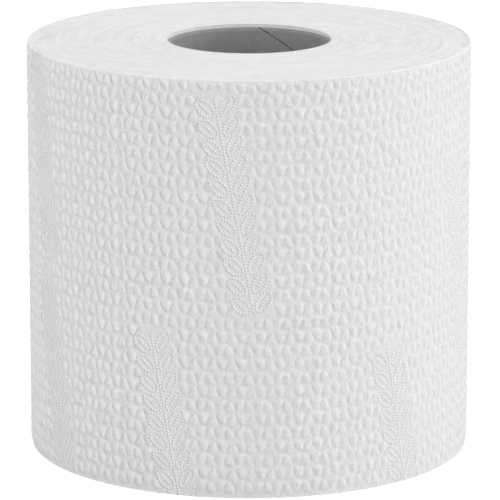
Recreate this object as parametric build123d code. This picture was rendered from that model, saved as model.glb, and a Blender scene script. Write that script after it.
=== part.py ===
from build123d import *
import math
import os

# A roll of toilet paper, standing on its end.
# The origin is the middle of the lower end, on the roll's axis, and +Z runs up the axis.

# Driving dimensions of the wound tissue, in millimetres.
roll_width = 101.6  # from end to end, one sheet wide
roll_diameter = 109.2
sheet_thickness = 0.3  # the step at the loose end of the last sheet
loose_end_angle = 129.0  # degrees round from +X, on the side away from the front
rim_softness = 0.35

# The turns show on both ends as one spiral gap, from the loose end to the core.
# Each modelled turn stands for about twenty turns of the thin tissue.
modelled_turns = 7
gap_width = 0.6
gap_depth = 0.5

# The perforations cross the sheet from end to end of the roll.
sheet_length = 101.6  # from one line of perforations to the next
perforation_width = 0.5
perforation_depth = 0.25

# Driving dimensions of the paperboard core.
bore_diameter = 39.1
core_wall = 0.6
core_recess = 0.8  # each end of the core lies this far inside the roll's end
seam_pitch = 70.0  # one turn of the spiral strip, along the axis
seam_angle = 56.6  # degrees round from +X where the seam passes seam_height
seam_height = 95.6
seam_width = 0.45
seam_depth = 0.25

# What follows from them.
roll_radius = roll_diameter / 2
core_radius = bore_diameter / 2 + core_wall
core_length = roll_width - 2 * core_recess
wound_depth = roll_radius - sheet_thickness - core_radius
turn_spacing = (wound_depth - gap_width) / modelled_turns


def facing_loose_end(shape):
    """Turns a shape drawn with the loose end on +X to where the loose end is."""
    return Rot(0, 0, loose_end_angle) * shape


def half_turn(number, start_radius, spacing):
    """Centre and radius of one half turn of a spiral that starts on +X and runs inwards.

    The half turns have two centres, one each side of the axis, so they meet smoothly.
    """
    shift = spacing / 4
    centre = shift if number % 2 == 0 else -shift
    radius = start_radius - shift - 2 * shift * number
    return centre, radius


def upright_face(*corners):
    """A flat face in the XZ plane, with corners given as distance from the axis and height."""
    return make_face(Plane.XZ * Polyline(*corners, close=True))


def wind(section, number, centre):
    """Turns a section by one half turn of the spiral about its centre."""
    start = Pos(centre, 0, 0) * Rot(0, 0, 180 * number) * section
    return revolve(start, axis=Axis((centre, 0, 0), (0, 0, 1)), revolution_arc=180)


def wound_half(number):
    """Half of the roll, out to the last turn, with a soft rim at both ends."""
    centre, radius = half_turn(number, roll_radius, sheet_thickness)
    section = upright_face(
        (0, 0),
        (radius - rim_softness, 0),
        (radius, rim_softness),
        (radius, roll_width - rim_softness),
        (radius - rim_softness, roll_width),
        (0, roll_width),
    )
    return wind(section, number, centre)


def gap_between_turns():
    """The spiral gap in the upper end, from the foot of the loose end to the core."""
    pieces = []
    for number in range(2 * modelled_turns):
        centre, radius = half_turn(number, roll_radius - sheet_thickness, turn_spacing)
        section = upright_face(
            (radius, roll_width - gap_depth),
            (radius + gap_width, roll_width + gap_depth),
            (radius - gap_width, roll_width + gap_depth),
        )
        pieces.append(wind(section, number, centre))
    return pieces


def perforation(distance):
    """A shallow nick across the sheet, at a distance along it from the loose end."""
    turn = distance / roll_radius
    radius = roll_radius - sheet_thickness * turn / (2 * math.pi)
    nick = Polyline(
        (radius - perforation_depth, 0),
        (radius + perforation_depth, perforation_width),
        (radius + perforation_depth, -perforation_width),
        close=True,
    )
    return Rot(0, 0, math.degrees(turn)) * extrude(make_face(nick), roll_width)


def tissue_roll():
    round_roll = wound_half(0) + wound_half(1)
    hole = extrude(Circle(core_radius), roll_width)
    upper_gap = gap_between_turns()
    middle = Plane.XY.offset(roll_width / 2)
    lower_gap = [mirror(piece, about=middle) for piece in upper_gap]
    sheets_outside = int(math.pi * roll_diameter / sheet_length)
    perforations = [perforation(sheet_length * (sheet + 1)) for sheet in range(sheets_outside)]
    return facing_loose_end(round_roll - hole - upper_gap - lower_gap - perforations)


def seam_groove():
    """The butt seam of the inner strip, a helix on the wall of the hole."""
    overrun = 5 * seam_width  # past each end of the core
    lowest = core_recess - overrun
    path = Helix(seam_pitch, core_length + 2 * overrun, bore_diameter / 2)
    section = Plane(path @ 0, x_dir=(1, 0, 0), z_dir=path % 0) * Rectangle(2 * seam_depth, seam_width)
    groove = sweep(section, path=path, is_frenet=True)
    turn = seam_angle - 360 * (seam_height - lowest) / seam_pitch
    return Pos(0, 0, lowest) * Rot(0, 0, turn) * groove


def core_tube():
    outside = Cylinder(core_radius, core_length, align=(Align.CENTER, Align.CENTER, Align.MIN))
    hole = Cylinder(bore_diameter / 2, core_length, align=(Align.CENTER, Align.CENTER, Align.MIN))
    return Pos(0, 0, core_recess) * (outside - hole) - seam_groove()


os.makedirs("parts", exist_ok=True)
export_step(tissue_roll(), "parts/tissue_roll.step")
export_step(core_tube(), "parts/core_tube.step")
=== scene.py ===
import math

import bpy
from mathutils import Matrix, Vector, noise


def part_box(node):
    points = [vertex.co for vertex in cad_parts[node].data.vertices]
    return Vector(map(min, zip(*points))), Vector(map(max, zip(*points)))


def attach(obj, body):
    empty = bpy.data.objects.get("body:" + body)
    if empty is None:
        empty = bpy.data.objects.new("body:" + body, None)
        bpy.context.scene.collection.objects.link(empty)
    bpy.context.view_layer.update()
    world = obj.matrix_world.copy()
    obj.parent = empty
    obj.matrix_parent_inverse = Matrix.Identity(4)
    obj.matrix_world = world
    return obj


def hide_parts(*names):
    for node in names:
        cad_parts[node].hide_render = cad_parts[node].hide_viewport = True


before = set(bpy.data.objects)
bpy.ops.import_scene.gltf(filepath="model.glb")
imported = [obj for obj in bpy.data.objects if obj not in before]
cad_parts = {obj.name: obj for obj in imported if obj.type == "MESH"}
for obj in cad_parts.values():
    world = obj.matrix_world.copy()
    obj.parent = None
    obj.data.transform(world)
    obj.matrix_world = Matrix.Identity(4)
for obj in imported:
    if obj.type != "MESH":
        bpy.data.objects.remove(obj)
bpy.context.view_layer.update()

print("stage: frame loaded")

mm = 0.001
rollLow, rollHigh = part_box("tissue_roll")
coreLow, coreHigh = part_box("core_tube")

# The roll as it is wound. Lengths are in millimetres, here and in the trees, and the finished meshes are in
# metres.
roll = {
    "width": (rollHigh.z - rollLow.z) / mm,
    "radius": 54.6,          # at the loose end
    "turnDepth": 0.3,        # what one turn adds to the radius
    "looseEndAngle": 129.0,  # degrees round from +X, behind the roll
    "sheetLength": 101.6,    # from one line of perforations to the next
    "rimRounding": 0.12,
    "rimDepth": 0.34,        # from the wall in to the first gap between turns
}
rollValues = {               # what the trees are told of it
    "Radius": roll["radius"], "Width": roll["width"], "Turn Depth": roll["turnDepth"],
    "Loose End Angle": math.radians(roll["looseEndAngle"]), "Rim Rounding": roll["rimRounding"],
    "Rim Depth": roll["rimDepth"],
}
girth = 2 * math.pi * roll["radius"]
frontAlong = math.radians(270 - roll["looseEndAngle"]) * roll["radius"]   # along the web, to the front


def toLinear(hexColour):
    channels = [int(hexColour[i:i + 2], 16) / 255 for i in (1, 3, 5)]
    return (*[c / 12.92 if c <= 0.04045 else ((c + 0.055) / 1.055) ** 2.4 for c in channels], 1)


# What the second word in a kind of node sets.
settingOf = {
    "Math": "operation", "VectorMath": "operation", "Mix": "data_type", "MapRange": "interpolation_type",
    "TexNoise": "noise_dimensions", "Attribute": "attribute_name", "GeometryNodeSampleIndex": "data_type",
    "GeometryNodeStoreNamedAttribute": "data_type",
}


# Adds a node, such as "Math ADD". Its inputs come in their order or by name, and each is a value, a socket,
# or a node whose first output is meant.
def addNode(tree, kind, inputs=()):
    kind, _, setting = kind.partition(" ")
    node = tree.nodes.new(kind if "Node" in kind else "ShaderNode" + kind)
    node.location = (180 * (len(tree.nodes) % 20), -240 * (len(tree.nodes) // 20))
    if setting:
        setattr(node, settingOf[kind], setting)
    for key, value in inputs.items() if isinstance(inputs, dict) else enumerate(inputs):
        if isinstance(value, bpy.types.Node):
            value = value.outputs[0]
        if isinstance(value, bpy.types.NodeSocket):
            tree.links.new(value, node.inputs[key])
        else:
            node.inputs[key].default_value = value
    return node


# A new tree with an output for the mesh. Its inputs are named by their kind.
def newTree(name, inputs):
    tree = bpy.data.node_groups.new(name, "GeometryNodeTree")
    tree.interface.new_socket(name="Geometry", in_out="INPUT", socket_type="NodeSocketGeometry")
    for kind, labels in inputs.items():
        for label in labels:
            tree.interface.new_socket(name=label, in_out="INPUT", socket_type="NodeSocket" + kind)
    tree.interface.new_socket(name="Geometry", in_out="OUTPUT", socket_type="NodeSocketGeometry")
    return tree, addNode(tree, "NodeGroupInput").outputs


def newObject(name, data):
    added = bpy.data.objects.new(name, data)
    bpy.context.scene.collection.objects.link(added)
    return added


# Runs a tree and keeps the result as a plain mesh, with its place in it.
def growPiece(name, tree, values):
    base = newObject(name + "Base", bpy.data.meshes.new(name + "Base"))
    modifier = base.modifiers.new("grow", "NODES")
    modifier.node_group = tree
    for item in tree.interface.items_tree:
        if item.in_out == "INPUT" and item.name in values:
            modifier[item.identifier] = values[item.name]
    depsgraph = bpy.context.evaluated_depsgraph_get()
    mesh = bpy.data.meshes.new_from_object(base.evaluated_get(depsgraph))
    base.modifiers.remove(modifier)
    bpy.data.objects.remove(base)
    return keepPiece(name, mesh)


def keepPiece(name, mesh):
    mesh.name = name
    mesh.polygons.foreach_set("use_smooth", [True] * len(mesh.polygons))
    print("made", name, len(mesh.polygons) * 2, "triangles")
    return newObject(name, mesh)


def newMaterial(name):
    material = bpy.data.materials.new(name)
    material.use_nodes = True
    tree = material.node_tree
    return material, tree, tree.nodes["Principled BSDF"]


# Gives a material its colour, its fine relief with a depth in mm, and the values that are even all over it.
def finishSurface(tree, shader, colour, height, depth, values):
    tree.links.new(colour.outputs["Result"], shader.inputs["Base Color"])
    bump = addNode(tree, "Bump", {"Height": height, "Distance": depth * mm})
    tree.links.new(bump.outputs["Normal"], shader.inputs["Normal"])
    for name, value in values.items():
        shader.inputs[name].default_value = value


# Soft white tissue, creped off a drying cylinder: dull, with a faint nap of short fibres and fine ridges.
tissueLook = {
    "crests": "#E2E2E2",
    "hollows": "#E7E7E7",      # painted light: a little paler than the pads, for the light that comes through the thin web there
    "hollowShare": 0.7,        # how far off the pads the colour goes over to theirs
    "cloudShare": 0.3,         # and how far the clouds of fibres take it on
    "cloudSize": 2.5,
    "plainBands": "#E4E4E4",   # pressed flat round the sprigs
    "grainShade": 0.3,
    "paintedFlankShade": 0.31,        # painted shade and highlight: each pad darker on the side where it rises along the web, lighter where it falls
    "paintedRimHighlight": "#F6F6F6",      # painted highlight along the sawn edges, where loose fibres stand up and catch the light
    "rimReach": (0.1, 0.5),
    "dotHighlights": "#FFFFFF",  # painted highlight: smooth where the pins pressed, so they catch the light
    "besideDots": "#BABABA",   # the shaded side of each, too fine to model, drawn a little grey
    "crepePitch": 0.55,        # between the fine ridges, drawn coarser than they are, to show
    "fibreSize": 0.7,          # coarser too
    "napDepth": 0.36,
    "surface": {"Roughness": 0.95, "Specular IOR Level": 0.15, "Sheen Weight": 0.08, "Sheen Roughness": 0.7},
}

# The sprigs pressed in dots between the pads: a stem with leaves in pairs. Sizes in mm.
sprig = {
    "length": 57.0,
    "slant": 0.18,           # sideways for each mm down
    "plainWidth": 9.0,       # the band without pads
    "bandEdges": (-0.4, 0.5),
    "dotLimit": (2, -1),     # no dots beyond this past the sides and the ends of the band
    "dotPitch": 0.78,
    "dotTop": 0.12,          # the level middle of a dot
    "dotRadius": 0.37,
    "shadeReach": (-0.1, 0.34, 0),
    "dotHeight": 0.1,
    "dotShade": 0.76,        # how much of their own shade the dots get, at an even pressing
    "leafPitch": 4.8,
    "leafLength": 5.4,
    "leafWidth": 2.9,
    "leafTilt": 38.0,
    "leafAside": 2.75,       # from the stem to the middle of a leaf
    "tops": [(-8.5, 99.5), (-24.5, 41.5), (35.5, 36.0), (-68.5, 108.0), (-62.0, 50.0), (62.0, 78.0),
             (95.0, 36.5), (111.0, 95.0), (140.0, 43.0), (171.0, 99.0), (185.0, 38.0)],
}

# The embossing: rows of two leaves, a fin and a petal, each row the mirror image of the one above. In mm.
emboss = {
    "patternStart": 80.0,    # before the middle of the front
    "repeatAround": 4.62,
    "rowHeight": 3.355,
    "padHeight": 0.46,
    "sink": 0.25,            # share of that height which lies inside the nominal radius
    "unevenPressing": 0.52,  # the web is pressed deeper in some stretches than in others
    "deepestAt": -40.0,      # degrees round from the front
    "firmness": (0.75, 1.1),      # and pad by pad
    "mirrorAcross": 3.14,
    "rowWave": 0.2,
    "wavePhase": -0.57,
    "rowGroove": (-0.12, 1.05),   # the pads of a row fade out over this much at its edges
    "plainRim": (0.3, 1.6),       # and towards the sawn edges
    "topFade": 0.4,               # and at the top of the first row
    # a bulge of 2 is a round pad, and more is flatter with steeper sides
    "fin": {"across": 1.79, "down": 2.09, "halfWidth": 1.23, "halfHeight": 2.49, "widening": 0.63,
            "lean": -0.2, "bulge": 2.7, "share": 0.9},
    "petal": {"across": 4.07, "down": 1.24, "halfWidth": 1.21, "halfHeight": 2.85, "widening": -0.53,
              "lean": 0.19, "bulge": 2.2, "share": 1.0},
    "leastHalfWidth": 0.15,
    "crispness": 0.08,       # height that the material adds to the look of the pads
    # how far either way the pads are read, for their mean and for the painted shade on their sides
    "flankReach": (0.15, 0.04, 0),
    "wander": 0.3,
    "wanderScale": 0.12,     # waves in a mm, about, as in the other scales
    "firmnessScale": 0.3,
    "meshAround": 13,        # points in one repeat
    "meshUp": 20,            # points in two rows
    "rimRows": 3,
}

# The loose end, folded back a little under itself, which gives it its thickness.
tail = {
    "length": 16.0,
    "overlap": 18.0,         # how far the web goes on under it
    "underside": 9.0,
    "thickness": 0.16,
    "lift": 1.3,
    "leastLift": 0.25,       # share of it where the tail lies closest
    "liftScale": 0.035,
    "curl": 1.7,             # a higher one brings the lift nearer to the edge
    "tornEdge": 0.3,
    "tornReach": 2.5,
    "toothScale": 0.9,
    "rimFlare": 0.4,         # the upper edge of the last turn stands out by this here and there
    "flareReach": 2.2,
    "flareScale": 0.09,
}

# The lines of slits between the sheets.
perforation = {
    "slitSpacing": 3.4,
    "slitWidth": 0.3,
    "slitDepth": 0.12,
    "calmWidth": (0.2, 1.2),  # the pads are lower beside them
    "calmHeight": 0.4,
    "bridgeEdges": (0.3, 0.7),   # a slit starts this far from the middle of a bridge
    "stray": 1.0,
    "strayScale": 0.4,
    "fromEdge": 5.0,         # the torn edge has none
}


# How deep the embossing is, about 1, from the place on the flat web.
def pressNodes(tree, flatPlace):
    alongWeb = addNode(tree, "SeparateXYZ", [flatPlace]).outputs["X"]
    pressWave = addNode(tree, "Math COSINE", [addNode(tree, "Math MULTIPLY_ADD", [
        alongWeb, 2 / roll["radius"],
        -2 * frontAlong / roll["radius"] - 2 * math.radians(emboss["deepestAt"])])])
    return addNode(tree, "Math MULTIPLY_ADD", [pressWave, emboss["unevenPressing"], 1.0])


# How far a point on the flat is from its origin.
def lengthNodes(tree, x, y, z=0.0):
    return addNode(tree, "VectorMath LENGTH", [addNode(tree, "CombineXYZ", [x, y, z])]).outputs["Value"]


# The pads' height, 0 to 1, from the place on the flat web. The mesh and the material both use it.
def padNodes(tree, flatPlace):
    # read a little off its true place, so that no two pads are quite alike
    stray = addNode(tree, "TexNoise", {"Vector": flatPlace, "Scale": emboss["wanderScale"], "Detail": 3.0})
    strayed = addNode(tree, "VectorMath MULTIPLY_ADD", [
        stray.outputs["Color"], (emboss["wander"] * 2,) * 3, flatPlace])
    patternPlace = addNode(tree, "SeparateXYZ", [strayed]).outputs
    across = addNode(tree, "Math ADD", [
        patternPlace["X"], emboss["patternStart"] - frontAlong - emboss["wander"]])
    fromTop = addNode(tree, "Math SUBTRACT", [roll["width"] + emboss["wander"], patternPlace["Y"]])
    wave = addNode(tree, "Math SINE", [addNode(tree, "Math MULTIPLY_ADD", [
        across, 2 * math.pi / emboss["repeatAround"], emboss["wavePhase"]])])
    down = addNode(tree, "Math MULTIPLY_ADD", [wave, -emboss["rowWave"], fromTop])
    row = addNode(tree, "Math FLOOR", [addNode(tree, "Math DIVIDE", [down, emboss["rowHeight"]])])
    isMirrored = addNode(tree, "Math FLOORED_MODULO", [row, 2.0])
    inRow = addNode(tree, "Math FLOORED_MODULO", [down, emboss["rowHeight"]])
    mirrored = addNode(tree, "Math SUBTRACT", [emboss["mirrorAcross"], across])
    rowAcross = addNode(tree, "Mix FLOAT", {"Factor": isMirrored, "A": across, "B": mirrored})

    heights = []
    for leaf in (emboss["fin"], emboss["petal"]):
        dy = addNode(tree, "Math SUBTRACT", [inRow, leaf["down"]])
        leaning = addNode(tree, "Math MULTIPLY_ADD", [dy, -leaf["lean"], -leaf["across"]])
        dx = addNode(tree, "Math ADD", [rowAcross.outputs["Result"], leaning])
        wrapped = addNode(tree, "Math WRAP", [dx, -emboss["repeatAround"] / 2, emboss["repeatAround"] / 2])
        dyShare = addNode(tree, "Math DIVIDE", [dy, leaf["halfHeight"]])
        spread = addNode(tree, "Math MULTIPLY_ADD", [
            dyShare, leaf["widening"] * leaf["halfWidth"], leaf["halfWidth"]])
        wide = addNode(tree, "Math MAXIMUM", [spread, emboss["leastHalfWidth"]])
        dxShare = addNode(tree, "Math DIVIDE", [wrapped, wide])
        falling = addNode(tree, "Math POWER", [lengthNodes(tree, dxShare, dyShare), leaf["bulge"]])
        heights.append(addNode(tree, "MapRange", {
            "Value": falling, "To Min": leaf["share"], "To Max": 0.0}))
    leafHeight = addNode(tree, "Math MAXIMUM", [heights[0], heights[1]])
    rowEdge = addNode(tree, "Math PINGPONG", [inRow, emboss["rowHeight"] / 2])
    groove = addNode(tree, "MapRange SMOOTHSTEP", {
        "Value": rowEdge, "From Min": emboss["rowGroove"][0], "From Max": emboss["rowGroove"][1]})
    uneven = addNode(tree, "TexNoise", {"Vector": flatPlace, "Scale": emboss["firmnessScale"]})
    firmness = addNode(tree, "MapRange", {
        "Value": uneven, "From Min": 0.3, "From Max": 0.7, "To Min": emboss["firmness"][0],
        "To Max": emboss["firmness"][1]})
    depth = addNode(tree, "Math MULTIPLY", [firmness, pressNodes(tree, flatPlace)])

    # calm beside a line of perforations
    web = addNode(tree, "SeparateXYZ", [flatPlace]).outputs
    inSheet = addNode(tree, "Math PINGPONG", [web["X"], roll["sheetLength"] / 2])
    calm = addNode(tree, "MapRange SMOOTHSTEP", {
        "Value": inSheet, "From Min": perforation["calmWidth"][0], "From Max": perforation["calmWidth"][1],
        "To Min": perforation["calmHeight"]})
    pads = addNode(tree, "Math MULTIPLY", [leafHeight, groove])
    firmPads = addNode(tree, "Math MULTIPLY", [pads, depth])
    calmPads = addNode(tree, "Math MULTIPLY", [firmPads, calm])
    fromRim = addNode(tree, "Math PINGPONG", [web["Y"], roll["width"] / 2])
    offRim = addNode(tree, "MapRange SMOOTHSTEP", {
        "Value": fromRim, "From Min": emboss["plainRim"][0], "From Max": emboss["plainRim"][1]})
    inFirstRow = addNode(tree, "MapRange", {"Value": down, "From Max": emboss["topFade"]})
    rimmed = addNode(tree, "Math MULTIPLY", [offRim, inFirstRow])
    return addNode(tree, "Math MULTIPLY", [calmPads, rimmed])


# The slits of a line of perforations, 1 in a slit and 0 beside it.
def perforationNodes(tree, along, up):
    bent = addNode(tree, "TexNoise 1D", {"W": up, "Scale": perforation["strayScale"]})
    strayed = addNode(tree, "Math MULTIPLY_ADD", [bent, perforation["stray"], along])
    inSheet = addNode(tree, "Math PINGPONG", [
        addNode(tree, "Math SUBTRACT", [strayed, perforation["stray"] / 2]), roll["sheetLength"] / 2])
    slitPlace = addNode(tree, "Math PINGPONG", [up, perforation["slitSpacing"] / 2])
    isSlit = addNode(tree, "MapRange SMOOTHSTEP", {
        "Value": slitPlace, "From Min": perforation["bridgeEdges"][0],
        "From Max": perforation["bridgeEdges"][1]})
    slitSide = addNode(tree, "MapRange SMOOTHSTEP", {
        "Value": inSheet, "From Max": perforation["slitWidth"], "To Min": 1.0, "To Max": 0.0})
    offEdge = addNode(tree, "Math GREATER_THAN", [along, perforation["fromEdge"]])
    slitHere = addNode(tree, "Math MULTIPLY", [isSlit, offEdge])
    return addNode(tree, "Math MULTIPLY", [slitHere, slitSide])


# The dots of a sprig, 1 on a dot and 0 beside it, from the place on the sprig: X down its stem and Y aside.
def dotNodes(tree, onSprig):
    split = addNode(tree, "SeparateXYZ", [onSprig]).outputs
    aside = addNode(tree, "Math ABSOLUTE", [split["Y"]])
    halfPitch = sprig["leafPitch"] / 2
    inPair = addNode(tree, "Math WRAP", [split["X"], -halfPitch, halfPitch])
    fromLeaf = addNode(tree, "CombineXYZ", [
        inPair, addNode(tree, "Math SUBTRACT", [aside, sprig["leafAside"]])])
    turned = addNode(tree, "Mapping", {
        "Vector": fromLeaf, "Rotation": (0, 0, math.radians(sprig["leafTilt"]))})
    halfSize = (sprig["leafLength"] / 2, sprig["leafWidth"] / 2, 1)
    share = addNode(tree, "VectorMath DIVIDE", [turned, halfSize])
    slope = addNode(tree, "VectorMath DIVIDE", [share, halfSize])
    reach = addNode(tree, "VectorMath LENGTH", [share]).outputs["Value"]
    steepness = addNode(tree, "VectorMath LENGTH", [slope]).outputs["Value"]
    offLine = addNode(tree, "Math MULTIPLY_ADD", [
        reach, reach, addNode(tree, "Math MULTIPLY", [reach, -1.0])])
    lineDistance = addNode(tree, "Math DIVIDE", [offLine, steepness])
    shareSplit = addNode(tree, "SeparateXYZ", [share]).outputs
    roundLeaf = addNode(tree, "Math ARCTAN2", [shareSplit["Y"], shareSplit["X"]])
    perimeter = math.pi * (3 * (halfSize[0] + halfSize[1]) - math.sqrt(
        (3 * halfSize[0] + halfSize[1]) * (halfSize[0] + 3 * halfSize[1])))
    leafDots = round(perimeter / sprig["dotPitch"])
    evening = addNode(tree, "Math SINE", [addNode(tree, "Math MULTIPLY", [roundLeaf, 2.0])])
    bend = (halfSize[0] - halfSize[1]) / (halfSize[0] + halfSize[1]) / 2
    evenly = addNode(tree, "Math MULTIPLY_ADD", [evening, -bend, roundLeaf])
    dotCount = addNode(tree, "Math MULTIPLY", [evenly, leafDots / (2 * math.pi)])
    leafStep = addNode(tree, "Math WRAP", [dotCount, -0.5, 0.5])
    alongLine = addNode(tree, "Math MULTIPLY", [leafStep, perimeter / leafDots])
    leafDistance = lengthNodes(tree, lineDistance, alongLine)
    halfDot = sprig["dotPitch"] / 2
    stemStep = addNode(tree, "Math WRAP", [split["X"], -halfDot, halfDot])
    stemDistance = lengthNodes(tree, stemStep, aside)
    turnedSplit = addNode(tree, "SeparateXYZ", [turned]).outputs
    veinStep = addNode(tree, "Math WRAP", [turnedSplit["X"], -halfDot, halfDot])
    pastVein = addNode(tree, "Math GREATER_THAN", [
        addNode(tree, "Math ABSOLUTE", [turnedSplit["X"]]), sprig["dotPitch"] * 2])
    veinDistance = lengthNodes(tree, veinStep, turnedSplit["Y"], pastVein)
    nearestLine = addNode(tree, "Math MINIMUM", [leafDistance, stemDistance])
    nearest = addNode(tree, "Math MINIMUM", [nearestLine, veinDistance])
    dot = addNode(tree, "MapRange SMOOTHSTEP", {
        "Value": nearest, "From Min": sprig["dotTop"], "From Max": sprig["dotRadius"], "To Min": 1.0,
        "To Max": 0.0})
    fromMiddle = addNode(tree, "Math ABSOLUTE", [split["X"]])
    wholeLeaves = (math.floor(sprig["length"] / 2 / sprig["leafPitch"] - 0.5) + 0.5) * sprig["leafPitch"]
    within = addNode(tree, "Math LESS_THAN", [fromMiddle, wholeLeaves])
    return addNode(tree, "Math MULTIPLY", [dot, within])


def makeTissue():
    material, tree, shader = newMaterial("crepedTissue")
    place = addNode(tree, "TexCoord").outputs["Object"]
    cloud = addNode(tree, "TexNoise", {
        "Vector": place, "Scale": 1 / (tissueLook["cloudSize"] * mm), "Detail": 4.0, "Roughness": 0.65})
    web = addNode(tree, "Attribute webPlace").outputs["Vector"]
    offBand = addNode(tree, "Attribute offBand").outputs["Fac"]
    ahead = padNodes(tree, addNode(tree, "VectorMath ADD", [web, emboss["flankReach"]]))
    behind = padNodes(tree, addNode(tree, "VectorMath SUBTRACT", [web, emboss["flankReach"]]))
    twice = addNode(tree, "Math ADD", [ahead, behind])
    rise = addNode(tree, "Math SUBTRACT", [ahead, behind])
    pads = addNode(tree, "Math MULTIPLY", [twice, offBand])
    # painted light in the hollows: off the pads the colour goes over to the paler hollows
    hollow = addNode(tree, "Math MULTIPLY_ADD", [
        pads, -tissueLook["hollowShare"] / 2, tissueLook["hollowShare"]])
    shadeShare = addNode(tree, "Math MULTIPLY_ADD", [cloud, tissueLook["cloudShare"], hollow])
    mix = addNode(tree, "Mix RGBA", {
        "Factor": shadeShare, "A": toLinear(tissueLook["crests"]), "B": toLinear(tissueLook["hollows"])})
    # painted shade and highlight on the sides of the pads, as if lit from one side along the web
    flank = addNode(tree, "Math MULTIPLY", [rise, offBand])
    paintedSideShade = addNode(tree, "Math MULTIPLY_ADD", [flank, -tissueLook["paintedFlankShade"], 1.0])
    ground = addNode(tree, "Mix RGBA", {
        "Factor": offBand, "A": toLinear(tissueLook["plainBands"]), "B": mix.outputs["Result"]})

    webSplit = addNode(tree, "SeparateXYZ", [web]).outputs
    # a painted highlight along the sawn rims
    fromRim = addNode(tree, "Math PINGPONG", [webSplit["Y"], roll["width"] / 2])
    atRim = addNode(tree, "MapRange SMOOTHSTEP", {
        "Value": fromRim, "From Min": tissueLook["rimReach"][0], "From Max": tissueLook["rimReach"][1],
        "To Min": 1.0, "To Max": 0.0})
    ground = addNode(tree, "Mix RGBA", {
        "Factor": atRim, "A": ground.outputs["Result"], "B": toLinear(tissueLook["paintedRimHighlight"])})

    # nap and crepe
    ridges = addNode(tree, "Mapping", {"Vector": place, "Scale": (1, 1, 0.2)})
    crepe = addNode(tree, "TexNoise", {
        "Vector": ridges, "Scale": 1 / (tissueLook["crepePitch"] * mm), "Roughness": 0.6})
    fibres = addNode(tree, "TexNoise", {
        "Vector": place, "Scale": 1 / (tissueLook["fibreSize"] * mm), "Detail": 4.0, "Roughness": 0.7,
        "Distortion": 0.8})
    nap = addNode(tree, "Math ADD", [crepe, fibres])
    napHeight = addNode(tree, "Math MULTIPLY", [nap, tissueLook["napDepth"]])
    grain = addNode(tree, "Math SUBTRACT", [nap, 1.0])
    shade = addNode(tree, "Math MULTIPLY_ADD", [grain, tissueLook["grainShade"], paintedSideShade])
    shaded = addNode(tree, "VectorMath SCALE", {0: ground.outputs["Result"], "Scale": shade})

    # the dots of the sprig, each with a painted highlight, and the painted shade on the shaded side of each,
    # both stronger where the web is pressed deeper
    onSprig = addNode(tree, "Attribute sprigPlace").outputs["Vector"]
    dots = dotNodes(tree, onSprig)
    besideDots = dotNodes(tree, addNode(tree, "VectorMath ADD", [onSprig, sprig["shadeReach"]]))
    dotShare = addNode(tree, "Math MULTIPLY_ADD", [
        pressNodes(tree, web), sprig["dotShade"] / 2, sprig["dotShade"] / 2])
    sideShare = addNode(tree, "Math MULTIPLY", [besideDots, dotShare])
    topShare = addNode(tree, "Math MULTIPLY", [dots, dotShare])
    sideMix = addNode(tree, "Mix RGBA", {
        "Factor": sideShare, "A": shaded, "B": toLinear(tissueLook["besideDots"])})
    dotMix = addNode(tree, "Mix RGBA", {
        "Factor": topShare, "A": sideMix.outputs["Result"], "B": toLinear(tissueLook["dotHighlights"])})
    dotted = addNode(tree, "Math MULTIPLY_ADD", [dots, sprig["dotHeight"], napHeight])

    # the crisp edges of the pads, and the slits, which are finer than the mesh
    crisp = addNode(tree, "Math MULTIPLY_ADD", [pads, emboss["crispness"] / 2, dotted])
    slit = perforationNodes(tree, webSplit["X"], webSplit["Y"])
    height = addNode(tree, "Math MULTIPLY_ADD", [slit, -perforation["slitDepth"], crisp])
    finishSurface(tree, shader, dotMix, height, 1.0, tissueLook["surface"])
    return material


# The sawn ends of the turns: the same white tissue, cut, so it is dustier and its fibres stand up.
sawnLook = {
    "hollows": "#E4E4E4",
    "crests": "#F0F0F0",
    "cloudSize": 1.6,
    "fuzzSize": 0.4,
    "fuzzDepth": 0.07,
}


def makeCutEdges():
    material, tree, shader = newMaterial("sawnTissueEdges")
    place = addNode(tree, "TexCoord").outputs["Object"]
    cloud = addNode(tree, "TexNoise", {
        "Vector": place, "Scale": 1 / (sawnLook["cloudSize"] * mm), "Detail": 5.0, "Roughness": 0.7})
    mix = addNode(tree, "Mix RGBA", {
        "Factor": cloud, "A": toLinear(sawnLook["hollows"]), "B": toLinear(sawnLook["crests"])})
    fuzz = addNode(tree, "TexNoise", {
        "Vector": place, "Scale": 1 / (sawnLook["fuzzSize"] * mm), "Detail": 4.0, "Roughness": 0.7,
        "Distortion": 0.6})
    finishSurface(tree, shader, mix, fuzz, sawnLook["fuzzDepth"], tissueLook["surface"])
    return material


# Grey board from waste paper, wound in strips and glued: dull and mottled, with pale flecks of fibre.
boardLook = {
    "colour": "#A2A2A2",
    "dark": "#8C8C8C",
    "fleck": "#B8B8B8",
    # the seam: dark glue, with painted shade in its groove
    "seam": "#3C3C3C",
    "cloudSize": 2.2,
    "fleckSize": 0.8,
    "fleckEdges": (0.56, 0.78),   # fewer flecks with higher ones
    "fleckShare": 0.7,
    "fleckDepth": 0.06,
    "surface": {"Roughness": 0.85, "Specular IOR Level": 0.3},
}


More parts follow.
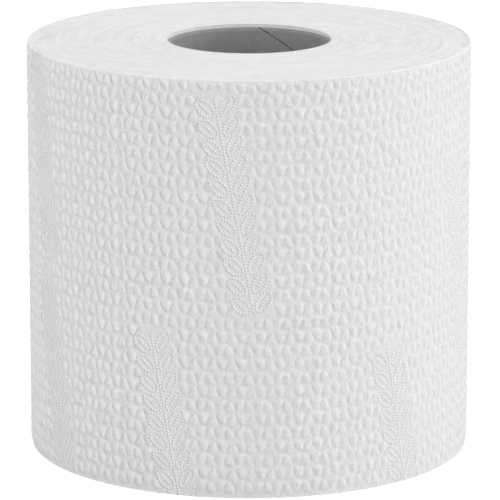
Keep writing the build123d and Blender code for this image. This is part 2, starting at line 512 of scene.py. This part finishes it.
def makeBoard():
    material, tree, shader = newMaterial("greyBoard")
    place = addNode(tree, "TexCoord").outputs["Object"]
    cloud = addNode(tree, "TexNoise", {
        "Vector": place, "Scale": 1 / (boardLook["cloudSize"] * mm), "Detail": 5.0, "Roughness": 0.7})
    base = addNode(tree, "Mix RGBA", {
        "Factor": cloud, "A": toLinear(boardLook["dark"]), "B": toLinear(boardLook["colour"])})
    flecks = addNode(tree, "TexNoise", {
        "Vector": place, "Scale": 1 / (boardLook["fleckSize"] * mm), "Detail": 3.0, "Distortion": 1.2})
    fleckMask = addNode(tree, "MapRange", {
        "Value": flecks, "From Min": boardLook["fleckEdges"][0], "From Max": boardLook["fleckEdges"][1],
        "To Max": boardLook["fleckShare"]})
    flecked = addNode(tree, "Mix RGBA", {
        "Factor": fleckMask, "A": base.outputs["Result"], "B": toLinear(boardLook["fleck"])})
    # the seam is painted near-black: glue, and painted shade in its groove
    seam = addNode(tree, "Attribute seam").outputs["Fac"]
    seamed = addNode(tree, "Mix RGBA", {
        "Factor": seam, "A": flecked.outputs["Result"], "B": toLinear(boardLook["seam"])})
    finishSurface(tree, shader, seamed, flecks, boardLook["fleckDepth"], boardLook["surface"])
    return material


tissue = makeTissue()
cutEdges = makeCutEdges()
board = makeBoard()
print("stage: materials")


# The direction at an angle round the roll.
def wayNodes(tree, angle):
    return addNode(tree, "CombineXYZ", [
        addNode(tree, "Math COSINE", [angle]), addNode(tree, "Math SINE", [angle])])


# The place that way from the middle, at a radius and a height, in metres.
def placeNodes(tree, way, radius, height):
    level = addNode(tree, "VectorMath SCALE", {0: way, "Scale": radius})
    place = addNode(tree, "VectorMath ADD", [level, addNode(tree, "CombineXYZ", {"Z": height})])
    return addNode(tree, "VectorMath SCALE", {0: place, "Scale": mm})


# A sheet of the outer turn: a grid over the flat web, pressed, and rolled up.
def embossTree():
    tree, given = newTree("embossed sheet", {
        "Float": ["Start", "Length", "Radius", "Width", "Turn Depth", "Loose End Angle", "Rim Rounding",
                  "Rim Depth", "Pad Height", "Tail Length", "Tail Lift"],
        "Int": ["Columns", "Rows", "Rim Rows"], "Object": ["Sprigs"], "Material": ["Material"]})
    grid = addNode(tree, "GeometryNodeMeshGrid", {
        "Size X": 1.0, "Size Y": 1.0, "Vertices X": given["Columns"], "Vertices Y": given["Rows"]})
    flat = addNode(tree, "SeparateXYZ", [addNode(tree, "GeometryNodeInputPosition")]).outputs

    # along the web: the free end is folded back under itself
    fromStart = addNode(tree, "Math ADD", [flat["X"], 0.5])
    rawAlong = addNode(tree, "Math MULTIPLY_ADD", [fromStart, given["Length"], given["Start"]])
    evenAlong = addNode(tree, "Math ABSOLUTE", [rawAlong])

    # up the web: the last rows at each rim turn over the edge
    rowCount = addNode(tree, "Math SUBTRACT", [given["Rows"], 1.0])
    rowNumber = addNode(tree, "Math MULTIPLY", [flat["Y"], rowCount])
    bodyRows = addNode(tree, "Math MULTIPLY_ADD", [given["Rim Rows"], -2.0, rowCount])
    halfRows = addNode(tree, "Math MULTIPLY", [bodyRows, 0.5])
    belowRows = addNode(tree, "Math MULTIPLY", [halfRows, -1.0])
    bodyRow = addNode(tree, "Clamp", {"Value": rowNumber, "Min": belowRows, "Max": halfRows})
    turnedRows = addNode(tree, "Math SUBTRACT", [rowNumber, bodyRow])
    rimShare = addNode(tree, "Math DIVIDE", [turnedRows, given["Rim Rows"]])
    overRim = addNode(tree, "Math ABSOLUTE", [rimShare])
    bodyHeight = addNode(tree, "Math MULTIPLY_ADD", [given["Rim Rounding"], -2.0, given["Width"]])
    upShare = addNode(tree, "Math DIVIDE", [bodyRow, bodyRows])
    halfWidth = addNode(tree, "Math MULTIPLY", [given["Width"], 0.5])
    up = addNode(tree, "Math MULTIPLY_ADD", [upShare, bodyHeight, halfWidth])
    rimArch = addNode(tree, "Math SINE", [addNode(tree, "Math MULTIPLY", [rimShare, math.pi])])
    height = addNode(tree, "Math MULTIPLY_ADD", [rimArch, given["Rim Rounding"], up])

    # the free edge was torn along its perforations, so it is finely toothed and not quite straight
    tooth = addNode(tree, "TexNoise 1D", {
        "W": up, "Scale": tail["toothScale"], "Detail": 3.0, "Roughness": 0.8})
    tornBy = addNode(tree, "MapRange", {
        "Value": tooth, "From Min": 0.3, "From Max": 0.7, "To Max": tail["tornEdge"] * 2})
    atEdge = addNode(tree, "MapRange SMOOTHSTEP", {
        "Value": evenAlong, "From Max": tail["tornReach"], "To Min": 1.0, "To Max": 0.0})
    along = addNode(tree, "Math MULTIPLY_ADD", [tornBy, atEdge, evenAlong])
    flatPlace = addNode(tree, "CombineXYZ", [along, height])

    # level in the band of each sprig; the nearest sprig's middle is sampled
    sprigs = addNode(tree, "GeometryNodeObjectInfo", {"Object": given["Sprigs"]}).outputs["Geometry"]
    nearestSprig = addNode(tree, "GeometryNodeSampleNearest", {0: sprigs, "Sample Position": flatPlace})
    middle = addNode(tree, "GeometryNodeSampleIndex FLOAT_VECTOR", {
        "Geometry": sprigs, "Value": addNode(tree, "GeometryNodeInputPosition"), "Index": nearestSprig})
    fromMiddle = addNode(tree, "VectorMath SUBTRACT", [flatPlace, middle])
    slant = math.atan(sprig["slant"])
    downStem = addNode(tree, "VectorMath DOT_PRODUCT", [
        fromMiddle, (math.sin(slant), -math.cos(slant), 0)]).outputs["Value"]
    asideStem = addNode(tree, "VectorMath DOT_PRODUCT", [
        fromMiddle, (math.cos(slant), math.sin(slant), 0)]).outputs["Value"]
    sprigPlace = addNode(tree, "CombineXYZ", [downStem, asideStem])
    pastStem = addNode(tree, "Math SUBTRACT", [
        addNode(tree, "Math ABSOLUTE", [downStem]), (sprig["length"] - sprig["plainWidth"]) / 2])
    bandDistance = lengthNodes(tree, addNode(tree, "Math MAXIMUM", [pastStem, 0.0]), asideStem)
    offBand = addNode(tree, "MapRange SMOOTHSTEP", {
        "Value": bandDistance, "From Min": sprig["plainWidth"] / 2 + sprig["bandEdges"][0],
        "From Max": sprig["plainWidth"] / 2 + sprig["bandEdges"][1]})
    farOff = addNode(tree, "Math GREATER_THAN", [
        bandDistance, sprig["plainWidth"] / 2 + sprig["dotLimit"][0]])
    offEnds = addNode(tree, "Math GREATER_THAN", [
        addNode(tree, "Math ABSOLUTE", [downStem]), sprig["length"] / 2 + sprig["dotLimit"][1]])
    farAway = addNode(tree, "Math MAXIMUM", [farOff, offEnds])
    sprigHere = addNode(tree, "Mix VECTOR", {
        "Factor": farAway, "A": sprigPlace, "B": (999, 999, 0)}).outputs["Result"]   # far from every dot
    slit = perforationNodes(tree, along, up)
    pads = padNodes(tree, flatPlace)
    clearPads = addNode(tree, "Math MULTIPLY", [pads, offBand])
    relief = addNode(tree, "Math MULTIPLY", [clearPads, given["Pad Height"]])
    reliefSlit = addNode(tree, "Math MULTIPLY_ADD", [slit, -perforation["slitDepth"], relief])

    # the tail lifts a little off the turn below, more in some places
    liftPlace = addNode(tree, "TexNoise 1D", {"W": up, "Scale": tail["liftScale"], "Detail": 1.0})
    liftHere = addNode(tree, "MapRange", {
        "Value": liftPlace, "From Min": 0.3, "From Max": 0.7, "To Min": tail["leastLift"]})
    tailShare = addNode(tree, "MapRange", {
        "Value": along, "From Max": given["Tail Length"], "To Min": 1.0, "To Max": 0.0})
    tailCurve = addNode(tree, "Math POWER", [tailShare, tail["curl"]])
    lift = addNode(tree, "Math MULTIPLY", [
        addNode(tree, "Math MULTIPLY", [tailCurve, liftHere]), given["Tail Lift"]])
    underside = addNode(tree, "MapRange SMOOTHSTEP", {
        "Value": rawAlong, "From Min": -0.4, "From Max": 0.05, "To Min": tail["thickness"], "To Max": 0.0})
    raisedBy = addNode(tree, "Math SUBTRACT", [lift, underside])

    # the edge of the last turn flares here and there
    toRim = addNode(tree, "Math SUBTRACT", [given["Width"], up])
    nearRim = addNode(tree, "MapRange SMOOTHERSTEP", {
        "Value": toRim, "From Max": tail["flareReach"], "To Min": 1.0, "To Max": 0.0})
    flarePlace = addNode(tree, "TexNoise 1D", {
        "W": along, "Scale": tail["flareScale"], "Detail": 3.0})
    flareHere = addNode(tree, "MapRange", {
        "Value": flarePlace, "From Min": 0.45, "From Max": 0.8, "To Max": tail["rimFlare"]})
    flare = addNode(tree, "Math MULTIPLY_ADD", [nearRim, flareHere, raisedBy])

    # rolled up on the spiral of the last turn
    turns = addNode(tree, "Math MULTIPLY", [along, 1 / girth])
    spiral = addNode(tree, "Math SUBTRACT", [
        given["Radius"], addNode(tree, "Math MULTIPLY", [turns, given["Turn Depth"]])])
    sunk = addNode(tree, "Math MULTIPLY", [pressNodes(tree, flatPlace), -emboss["sink"]])
    underPads = addNode(tree, "Math MULTIPLY_ADD", [given["Pad Height"], sunk, spiral])
    padded = addNode(tree, "Math ADD", [underPads, reliefSlit])
    wall = addNode(tree, "Math ADD", [padded, flare])
    firstGap = addNode(tree, "Math SUBTRACT", [spiral, given["Rim Depth"]])
    distance = addNode(tree, "Mix FLOAT", {"Factor": overRim, "A": wall, "B": firstGap}).outputs["Result"]
    angle = addNode(tree, "Math MULTIPLY_ADD", [along, 1 / roll["radius"], given["Loose End Angle"]])
    rolled = placeNodes(tree, wayNodes(tree, angle), distance, height)
    webMarked = addNode(tree, "GeometryNodeStoreNamedAttribute FLOAT_VECTOR", {
        "Geometry": grid, "Name": "webPlace", "Value": flatPlace})
    bandMarked = addNode(tree, "GeometryNodeStoreNamedAttribute FLOAT", {
        "Geometry": webMarked, "Name": "offBand", "Value": offBand})
    marked = addNode(tree, "GeometryNodeStoreNamedAttribute FLOAT_VECTOR", {
        "Geometry": bandMarked, "Name": "sprigPlace", "Value": sprigHere})
    placed = addNode(tree, "GeometryNodeSetPosition", {"Geometry": marked, "Position": rolled})
    real = addNode(tree, "GeometryNodeRealizeInstances", [placed])
    finished = addNode(tree, "GeometryNodeSetMaterial", {"Geometry": real, "Material": given["Material"]})
    addNode(tree, "NodeGroupOutput", [finished])
    return tree


# The middles of the sprigs on the flat web, in millimetres.
def makeSprigMiddles():
    reach = sprig["length"] / 2 / math.hypot(1, sprig["slant"])
    points = [(x + frontAlong + reach * sprig["slant"], y - reach, 0) for x, y in sprig["tops"]]
    mesh = bpy.data.meshes.new("sprigMiddles")
    mesh.from_pydata(points, [], [])
    return newObject("sprigMiddles", mesh)


def makeSheets():
    tree = embossTree()
    middles = makeSprigMiddles()
    rowPitch = emboss["rowHeight"] * 2 / emboss["meshUp"]
    columnPitch = emboss["repeatAround"] / emboss["meshAround"]
    rows = round((roll["width"] - 2 * roll["rimRounding"]) / rowPitch) + 2 * emboss["rimRows"] + 1
    sheets = []
    for number in range(math.ceil(girth / roll["sheetLength"])):
        start = number * roll["sheetLength"] if number else -tail["underside"]
        end = min((number + 1) * roll["sheetLength"], girth + tail["overlap"])
        sheets.append(growPiece("sheet%d" % (number + 1), tree, rollValues | {
            "Start": start, "Length": end - start, "Columns": round((end - start) / columnPitch) + 1,
            "Rows": rows, "Rim Rows": emboss["rimRows"], "Pad Height": emboss["padHeight"],
            "Tail Length": tail["length"], "Tail Lift": tail["lift"], "Sprigs": middles,
            "Material": tissue}))
    bpy.data.objects.remove(middles)
    return sheets


sheets = makeSheets()
print("stage: outer turn")

# The ends of the roll: the cut edges of all the turns, one spiral from under the loose end to the core.
ends = {
    "pointsInTurn": {"top": 330, "lower": 240},
    "gapDepth": 0.12,        # between two turns
    "gapRange": (0.35, 1.2),     # share of that depth, from place to place
    "gapScale": 0.5,
    "unevenTurns": 0.1,      # some turns stand lower for a stretch
    "turnScale": 6.0,        # waves in a turn
    "sawWaves": 0.1,         # slow rise and fall of the sawn face
    "sawScale": 0.06,
    "wobble": 0.12,          # sideways, from the pads within the turns
    "wobbleScale": 0.3,
    "wobbleFade": (0.35, 2.0),   # from none to all of it, from the first gap and from the core
    "rimFall": (0.31, 0.7),      # down to the rim over this much
    "boreWall": 1.1,         # how far the wall of the hole is made, down behind the core
    "boreColumns": 241,
    "spareTurns": 1.5,       # wound on past the core's radius, and held at it
    "seeds": {"top": 11.0, "lower": 57.0},
}


# The cut edges: a long narrow grid wound into a spiral, and a short ring for the wall of the hole.
def turnsTree():
    tree, given = newTree("wound turns", {
        "Float": ["Start", "Turns", "Radius", "Bore Radius", "Turn Depth", "Loose End Angle", "Rim Depth",
                  "Face Height", "Outwards", "Gap Depth", "Uneven Turns", "Saw Waves", "Wobble", "Bore Wall",
                  "Seed"],
        "Int": ["Columns", "Bore Columns"], "Material": ["Material"]})
    grid = addNode(tree, "GeometryNodeMeshGrid", {
        "Size X": 1.0, "Size Y": 1.0, "Vertices X": given["Columns"], "Vertices Y": 3})
    flat = addNode(tree, "SeparateXYZ", [addNode(tree, "GeometryNodeInputPosition")]).outputs
    share = addNode(tree, "Math ADD", [flat["X"], 0.5])
    turn = addNode(tree, "Math MULTIPLY_ADD", [share, given["Turns"], given["Start"]])
    angle = addNode(tree, "Math MULTIPLY_ADD", [turn, 2 * math.pi, given["Loose End Angle"]])
    acrossTurn = addNode(tree, "Math SUBTRACT", [0.5, flat["Y"]])
    turnsIn = addNode(tree, "Math ADD", [turn, acrossTurn])
    firstGap = addNode(tree, "Math SUBTRACT", [given["Radius"], given["Rim Depth"]])
    outermost = addNode(tree, "Math ADD", [firstGap, given["Turn Depth"]])
    windIn = addNode(tree, "Math MULTIPLY", [turnsIn, given["Turn Depth"]])
    evenRadius = addNode(tree, "Math SUBTRACT", [outermost, windIn])
    way = wayNodes(tree, angle)
    evenPlace = addNode(tree, "VectorMath SCALE", {0: way, "Scale": evenRadius})
    seeded = addNode(tree, "CombineXYZ", {"Z": given["Seed"]})
    noisePlace = addNode(tree, "VectorMath ADD", [evenPlace, seeded])

    # the turns run a little in and out; none at the first gap and at the core
    wobbleNoise = addNode(tree, "TexNoise", {"Vector": noisePlace, "Scale": ends["wobbleScale"]})
    wobbleBy = addNode(tree, "MapRange", {
        "Value": wobbleNoise, "From Min": 0.25, "From Max": 0.75, "To Min": -1.0})
    fromCore = addNode(tree, "Math SUBTRACT", [evenRadius, given["Bore Radius"]])
    fromRim = addNode(tree, "Math SUBTRACT", [outermost, evenRadius])
    toEdge = addNode(tree, "Math MINIMUM", [fromCore, fromRim])
    inside = addNode(tree, "MapRange", {
        "Value": toEdge, "From Min": ends["wobbleFade"][0], "From Max": ends["wobbleFade"][1]})
    wobble = addNode(tree, "Math MULTIPLY", [
        addNode(tree, "Math MULTIPLY", [wobbleBy, inside]), given["Wobble"]])
    wobbled = addNode(tree, "Math ADD", [evenRadius, wobble])
    radius = addNode(tree, "Math MAXIMUM", [wobbled, given["Bore Radius"]])

    # height of the cut edge
    crest = addNode(tree, "Math ABSOLUTE", [flat["Y"]])
    gap = addNode(tree, "Math MULTIPLY", [crest, -2.0])
    gapBy = addNode(tree, "TexNoise", {"Vector": noisePlace, "Scale": ends["gapScale"]})
    gapHere = addNode(tree, "MapRange", {
        "Value": gapBy, "From Min": 0.3, "From Max": 0.7, "To Min": ends["gapRange"][0],
        "To Max": ends["gapRange"][1]})
    gapDown = addNode(tree, "Math MULTIPLY", [
        addNode(tree, "Math MULTIPLY", [gap, gapHere]), given["Gap Depth"]])
    lowTurns = addNode(tree, "TexNoise 1D", {
        "W": addNode(tree, "Math ADD", [turnsIn, given["Seed"]]), "Scale": ends["turnScale"],
        "Detail": 3.0, "Roughness": 0.6})
    lowHere = addNode(tree, "MapRange", {
        "Value": lowTurns, "From Min": 0.35, "From Max": 0.75, "To Max": -1.0})
    lowDown = addNode(tree, "Math MULTIPLY_ADD", [lowHere, given["Uneven Turns"], gapDown])
    sawNoise = addNode(tree, "TexNoise", {"Vector": noisePlace, "Scale": ends["sawScale"]})
    sawHere = addNode(tree, "MapRange", {
        "Value": sawNoise, "From Min": 0.25, "From Max": 0.75, "To Max": -1.0})
    sawDown = addNode(tree, "Math MULTIPLY_ADD", [sawHere, given["Saw Waves"], lowDown])
    atRim = addNode(tree, "MapRange", {
        "Value": fromRim, "From Min": ends["rimFall"][0], "From Max": ends["rimFall"][1]})
    below = addNode(tree, "Mix FLOAT", {
        "Factor": atRim, "A": -roll["rimRounding"], "B": sawDown}).outputs["Result"]
    height = addNode(tree, "Math MULTIPLY_ADD", [below, given["Outwards"], given["Face Height"]])
    faceMesh = addNode(tree, "GeometryNodeSetPosition", {
        "Geometry": grid, "Position": placeNodes(tree, way, radius, height)})

    # the wall of the hole above the core
    boreGrid = addNode(tree, "GeometryNodeMeshGrid", {
        "Size X": 1.0, "Size Y": 1.0, "Vertices X": given["Bore Columns"], "Vertices Y": 5})
    boreAngle = addNode(tree, "Math MULTIPLY", [flat["X"], 2 * math.pi])
    boreDown = addNode(tree, "Math MULTIPLY", [
        addNode(tree, "Math SUBTRACT", [flat["Y"], 0.5]), given["Bore Wall"]])
    boreHeight = addNode(tree, "Math MULTIPLY_ADD", [boreDown, given["Outwards"], given["Face Height"]])
    borePlace = placeNodes(tree, wayNodes(tree, boreAngle), given["Bore Radius"], boreHeight)
    boreMesh = addNode(tree, "GeometryNodeSetPosition", {"Geometry": boreGrid, "Position": borePlace})
    joined = addNode(tree, "GeometryNodeJoinGeometry", [faceMesh])
    tree.links.new(boreMesh.outputs[0], joined.inputs[0])
    closed = addNode(tree, "GeometryNodeMergeByDistance", {"Geometry": joined, "Distance": 0.004 * mm})
    real = addNode(tree, "GeometryNodeRealizeInstances", [closed])
    finished = addNode(tree, "GeometryNodeSetMaterial", {"Geometry": real, "Material": given["Material"]})
    addNode(tree, "NodeGroupOutput", [finished])
    return tree


def makeEnds():
    tree = turnsTree()
    start = 1 + tail["overlap"] / girth
    boreRadius = (coreHigh.x - coreLow.x) / 2 / mm
    turns = (roll["radius"] - roll["rimDepth"] - boreRadius) / roll["turnDepth"] + ends["spareTurns"] - start
    made = []
    for name, faceHeight, outwards in (("top", roll["width"], 1.0), ("lower", 0.0, -1.0)):
        columns = round(turns * ends["pointsInTurn"][name]) + 1
        made.append(growPiece(name + "Turns", tree, rollValues | {
            "Start": start, "Turns": turns, "Columns": columns, "Bore Columns": ends["boreColumns"],
            "Bore Radius": boreRadius, "Face Height": faceHeight, "Outwards": outwards,
            "Gap Depth": ends["gapDepth"], "Uneven Turns": ends["unevenTurns"],
            "Saw Waves": ends["sawWaves"], "Wobble": ends["wobble"], "Bore Wall": ends["boreWall"],
            "Seed": ends["seeds"][name], "Material": cutEdges}))
    made[0].data.flip_normals()      # the grid is made facing down, which suits only the lower end
    return made


endPieces = makeEnds()
print("stage: ends")

# The core: a paperboard tube with the butt seam of its inner strip, a helix on the wall of the hole.
core = {
    "innerRadius": 19.55,
    "outerRadius": 20.15,
    "recess": 0.8,
    "seamPitch": 70.0,
    "seamAngle": 56.6,       # degrees round from +X where the seam passes seamHeight
    "seamHeight": 95.6,
    "seamDepth": 0.3,
    "seamShape": {-1: 0.75, 0: 1.0, 1: 0.75},    # its depth on the columns at the seam
    "drawnIn": 0.47,         # the columns there stand this much closer
    "columnsEachSide": 101,
    "rows": 96,
    "outerRows": 24,
    "endRounding": 0.05,
    "unevenWall": 0.06,
}


def makeCore():
    low, high = core["recess"], roll["width"] - core["recess"]
    length, inner, outer = high - low, core["innerRadius"], core["outerRadius"]
    each = core["columnsEachSide"]
    pitch = (math.pi * inner + 3 * core["drawnIn"]) / each
    offsets = [pitch * c - core["drawnIn"] * max(-3, min(3, c)) for c in range(-each, each)]
    # the profile goes up the inside, over the top end, down the outside and under
    inside = [(inner, low + length * k / core["rows"], 1) for k in range(core["rows"] + 1)]
    outside = [(outer, high - length * k / core["outerRows"], 0) for k in range(core["outerRows"] + 1)]
    over = [((inner + outer) / 2, high + core["endRounding"], 0)]
    under = [((inner + outer) / 2, low - core["endRounding"], 0)]
    profile = inside + over + outside + under
    verts, faces, seam = [], [], []
    for radius, height, isInside in profile:
        climb = (height - core["seamHeight"]) / core["seamPitch"]
        turned = math.radians(core["seamAngle"]) + climb * 2 * math.pi
        for column, offset in zip(range(-each, each), offsets):
            angle = turned + offset / inner
            spot = Vector((math.cos(angle), math.sin(angle), height * 0.03))
            wave = core["unevenWall"] * noise.noise(spot * 3.1 + Vector((5, 1, 2)))
            seamHere = core["seamShape"].get(column, 0) * isInside
            away = radius + (wave + core["seamDepth"] * seamHere if isInside else 0)
            verts.append((away * math.cos(angle) * mm, away * math.sin(angle) * mm, height * mm))
            seam.append(seamHere)
    around = 2 * each
    for k in range(len(profile)):
        here, after = k * around, ((k + 1) % len(profile)) * around
        for c in range(around):
            d = (c + 1) % around
            faces.append((here + d, here + c, after + c, after + d))
    mesh = bpy.data.meshes.new("coreBoard")
    mesh.from_pydata(verts, [], faces)
    mesh.attributes.new("seam", "FLOAT", "POINT").data.foreach_set("value", seam)
    mesh.materials.append(board)
    return keepPiece("coreBoard", mesh)


coreBoard = makeCore()
print("stage: core")

for piece in sheets + endPieces:
    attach(piece, "root")
    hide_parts("tissue_roll")
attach(coreBoard, "root")
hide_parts("core_tube")

# The camera stands where the photograph was taken from.
shot = {
    "distance": 1.0002,
    "down": math.radians(13.21),
    "lens": 289.2,
    "axisPixel": (249.3, 239.27),    # where the middle of the roll lies in the photograph
    "pictureSize": 500,
}


def placeCamera():
    camera = newObject("camera", bpy.data.cameras.new("camera"))
    back = Vector((0, -math.cos(shot["down"]), math.sin(shot["down"]))) * shot["distance"]
    camera.location = Vector((0, 0, roll["width"] * mm / 2)) + back
    camera.rotation_euler = (math.pi / 2 - shot["down"], 0, 0)
    camera.data.lens = shot["lens"]
    camera.data.sensor_width = 36
    half = shot["pictureSize"] / 2
    camera.data.shift_x = (half - shot["axisPixel"][0]) / shot["pictureSize"]
    camera.data.shift_y = (shot["axisPixel"][1] - half) / shot["pictureSize"]
    camera.data.clip_start = 0.05
    bpy.context.scene.camera = camera


# Soft light all round: a white tent that is a little brighter on the right, and soft lamps.
lights = {
    "front": {"place": (0.45, -1.1, 0.42), "size": 0.3, "power": 0.42},
    "side": {"place": (1.25, 0.1, 0.4), "size": 0.3, "power": 3.5},
    "fill": {"place": (-1.0, -0.58, 0.35), "size": 0.4, "power": 1.08},
    "top": {"place": (0.1, 0.2, 1.3), "size": 1.0, "power": 0.86},
}
sky = {
    "strength": 0.9,
    "rise": 0.15,            # more on the bright side, less on the other
    "brightSide": (0.9, -0.33, 0.28),
}


def placeLights():
    for name, setting in lights.items():
        lamp = bpy.data.lights.new(name, "AREA")
        lamp.size = setting["size"]
        lamp.energy = setting["power"]
        lampObject = newObject(name, lamp)
        lampObject.location = setting["place"]
        aim = Vector((0, 0, 0.05)) - lampObject.location
        lampObject.rotation_euler = aim.to_track_quat("-Z", "Y").to_euler()


def makeSky():
    world = bpy.data.worlds.new("studio")
    world.use_nodes = True
    tree = world.node_tree
    tree.nodes.clear()
    ray = addNode(tree, "LightPath").outputs
    seen = addNode(tree, "Math MAXIMUM", [ray["Is Camera Ray"], ray["Is Glossy Ray"]])
    shown = addNode(tree, "Math MAXIMUM", [seen, ray["Is Transmission Ray"]])
    way = addNode(tree, "TexCoord").outputs["Generated"]
    side = addNode(tree, "VectorMath DOT_PRODUCT", [way, sky["brightSide"]]).outputs["Value"]
    level = addNode(tree, "Math MULTIPLY_ADD", [side, sky["rise"], sky["strength"]])
    strength = addNode(tree, "MapRange", {"Value": shown, "To Min": level})
    background = addNode(tree, "Background", {"Color": (1, 1, 1, 1), "Strength": strength})
    addNode(tree, "OutputWorld", {"Surface": background})
    bpy.context.scene.world = world


# A smooth white studio table: its own colour is pale, and it glows only to the camera, so the shadow stays.
table = {
    "colour": "#F2F2F2",
    "roughness": 0.9,
    "glow": 0.4,
    "reach": 3.0,            # metres each way
}


def makeFloor():
    mesh = bpy.data.meshes.new("floor")
    reach = table["reach"]
    mesh.from_pydata([(-reach, -reach, 0), (reach, -reach, 0), (reach, reach, 0), (-reach, reach, 0)],
                     [], [(0, 1, 2, 3)])
    material, tree, shader = newMaterial("paleTable")
    shader.inputs["Base Color"].default_value = toLinear(table["colour"])
    shader.inputs["Roughness"].default_value = table["roughness"]
    ray = addNode(tree, "LightPath").outputs["Is Camera Ray"]
    glowStrength = addNode(tree, "Math MULTIPLY", [ray, table["glow"]])
    glow = addNode(tree, "Emission", {"Color": (1, 1, 1, 1), "Strength": glowStrength})
    both = addNode(tree, "AddShader", [shader.outputs["BSDF"], glow])
    tree.links.new(both.outputs[0], tree.nodes["Material Output"].inputs["Surface"])
    mesh.materials.append(material)
    newObject("floor", mesh)


placeCamera()
placeLights()
makeSky()
makeFloor()
bpy.context.scene.view_settings.view_transform = "Standard"
print("stage: camera and light")
